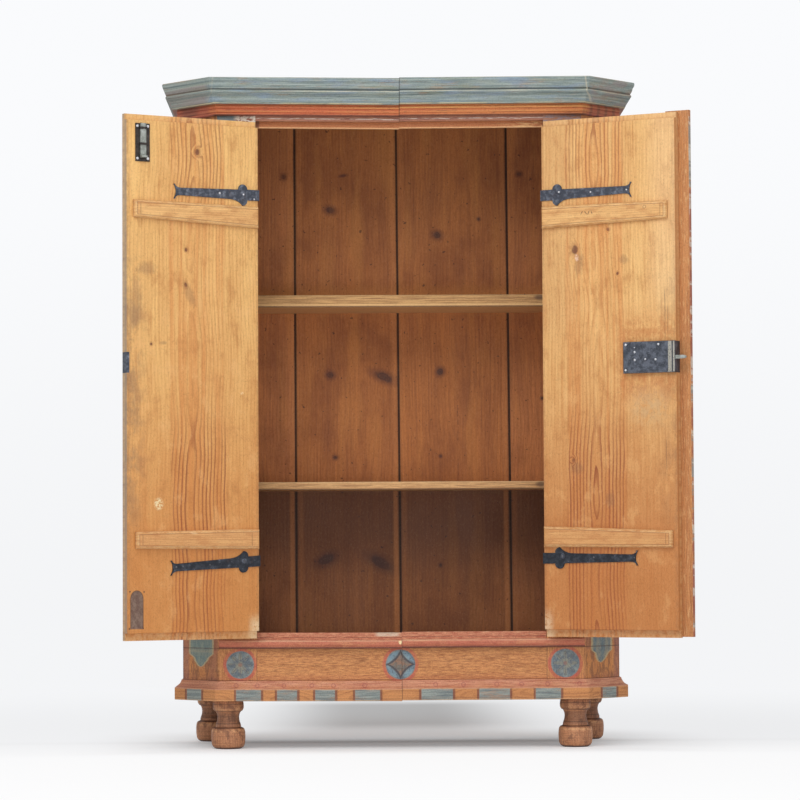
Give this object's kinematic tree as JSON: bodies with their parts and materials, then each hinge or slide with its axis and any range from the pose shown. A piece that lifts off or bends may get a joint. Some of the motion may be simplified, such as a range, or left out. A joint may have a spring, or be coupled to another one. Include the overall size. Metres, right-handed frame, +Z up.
{
  "type": "cupboard",
  "caption": "Painted pine cupboard with canted corners, moulded cornice and base, lipped doors on iron strap hinges, shelves and turned feet.",
  "frame": {"origin": "on the floor, in the middle of the space that the cupboard takes with its doors open as in the picture", "axes": "+Z up, +X to the viewer's right, +Y from the front to the back"},
  "size_m": [1.5622, 0.7176, 1.8799],
  "materials": {
    "pine": "bare honey-coloured pine, waxed",
    "aged_pine": "dark, dry pine",
    "rust_paint": "worn rust-coloured paint over pine",
    "red_paint": "worn red paint over pine",
    "blue_paint": "worn blue-grey paint over pine",
    "turned_wood": "dark stained, turned",
    "iron": "blackened, worn wrought iron",
    "steel": "worn, tarnished steel"
  },
  "bodies": {
    "cabinet": {"stile_left": "rust_paint", "corner_board_left": "rust_paint", "side_board_left": "rust_paint", "bottom_rail_left": "rust_paint", "head_rail_left": "rust_paint", "sill_moulding_left": "red_paint", "floor_board_left": "aged_pine", "top_board_left": "aged_pine", "corner_block_front_left": "aged_pine", "corner_block_rear_left": "aged_pine", "foot_front_left": "turned_wood", "foot_rear_left": "turned_wood", "cornice_left": "blue_paint", "bed_moulding_left": "red_paint", "plinth_left": "rust_paint", "pintle_upper_left": "iron", "pintle_lower_left": "iron", "stile_right": "rust_paint", "corner_board_right": "rust_paint", "side_board_right": "rust_paint", "bottom_rail_right": "rust_paint", "head_rail_right": "rust_paint", "sill_moulding_right": "red_paint", "floor_board_right": "aged_pine", "top_board_right": "aged_pine", "corner_block_front_right": "aged_pine", "corner_block_rear_right": "aged_pine", "foot_front_right": "turned_wood", "foot_rear_right": "turned_wood", "cornice_right": "blue_paint", "bed_moulding_right": "red_paint", "plinth_right": "rust_paint", "pintle_upper_right": "iron", "pintle_lower_right": "iron", "back_board_1": "aged_pine", "back_board_2": "aged_pine", "back_board_3": "aged_pine", "back_board_4": "aged_pine", "shelf_upper": "aged_pine", "shelf_lower": "aged_pine"},
    "left_door": {"door_left": "pine", "strap_hinge_upper_left": "iron", "batten_upper_left": "pine", "strap_hinge_lower_left": "iron", "batten_lower_left": "pine", "strike_plate": "iron", "slide_bolt_plate": "iron"},
    "right_door": {"door_right": "pine", "strap_hinge_upper_right": "iron", "batten_upper_right": "pine", "strap_hinge_lower_right": "iron", "batten_lower_right": "pine", "astragal": "rust_paint", "lock_case": "iron"},
    "slide_bolt_bar": {"slide_bolt": "steel"},
    "lock_bolt_bar": {"lock_bolt": "steel"}
  },
  "joints": [
    {"name": "left_door_hinge", "type": "hinge", "parent": "cabinet", "child": "left_door", "pos_m": [-0.42561, -0.11259, 1], "axis": [0, 0, -1], "range_deg": [-152, 16]},
    {"name": "right_door_hinge", "type": "hinge", "parent": "cabinet", "child": "right_door", "pos_m": [0.39119, -0.11259, 1], "axis": [0, 0, 1], "range_deg": [-152, 16]},
    {"name": "slide_bolt_slide", "type": "slide", "parent": "left_door", "child": "slide_bolt_bar", "axis": [0, 0, 1], "range_m": [0, 0.025]},
    {"name": "lock_bolt_slide", "type": "slide", "parent": "right_door", "child": "lock_bolt_bar", "axis": [0.8829, -0.4695, 0], "range_m": [-0.029, 0]}
  ]
}
